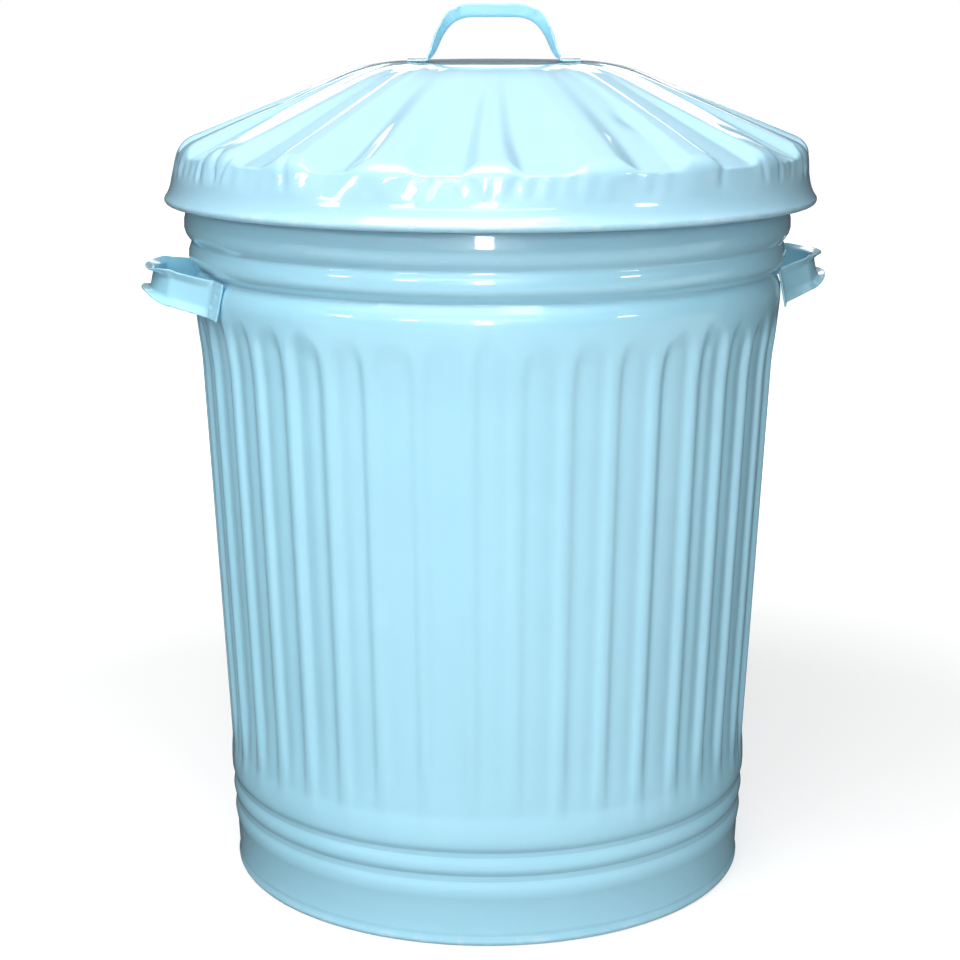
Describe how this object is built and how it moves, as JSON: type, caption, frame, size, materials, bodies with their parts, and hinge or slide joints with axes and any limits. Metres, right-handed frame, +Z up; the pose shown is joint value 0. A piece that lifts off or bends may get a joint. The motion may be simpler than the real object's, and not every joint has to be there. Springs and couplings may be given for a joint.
{
  "type": "lidded dustbin",
  "caption": "Round fluted steel dustbin with ribbed collar and foot, two strap side handles and a loose conical lid with a strap handle.",
  "frame": {"origin": "on the floor, at the middle of the foot ring, on the can's axis", "axes": "+Z up along the can's axis, the two side handles lie on +X and -X, and the front faces -Y"},
  "size_m": [0.5538, 0.5096, 0.6891],
  "materials": {
    "can_paint": "gloss pale blue powder coat on galvanised sheet steel",
    "base_paint": "gloss pale blue powder coat, duller inside",
    "lid_paint": "gloss pale blue powder coat on galvanised sheet steel",
    "handle_paint": "gloss pale blue powder coat on pressed strap",
    "edge_wire": "bare drawn steel wire, closed in the rolled edges"
  },
  "bodies": {
    "can": {"body_shell": "can_paint", "base_panel": "base_paint", "rim_wire": "edge_wire", "foot_wire": "edge_wire", "side_handle_right": "handle_paint", "side_handle_left": "handle_paint"},
    "lid": {"lid_shell": "lid_paint", "lid_wire": "edge_wire", "lid_handle": "handle_paint"}
  },
  "joints": [
    {"name": "lid_lift", "type": "slide", "parent": "can", "child": "lid", "axis": [0, 0, 1], "range_m": [0, 0.25]}
  ]
}
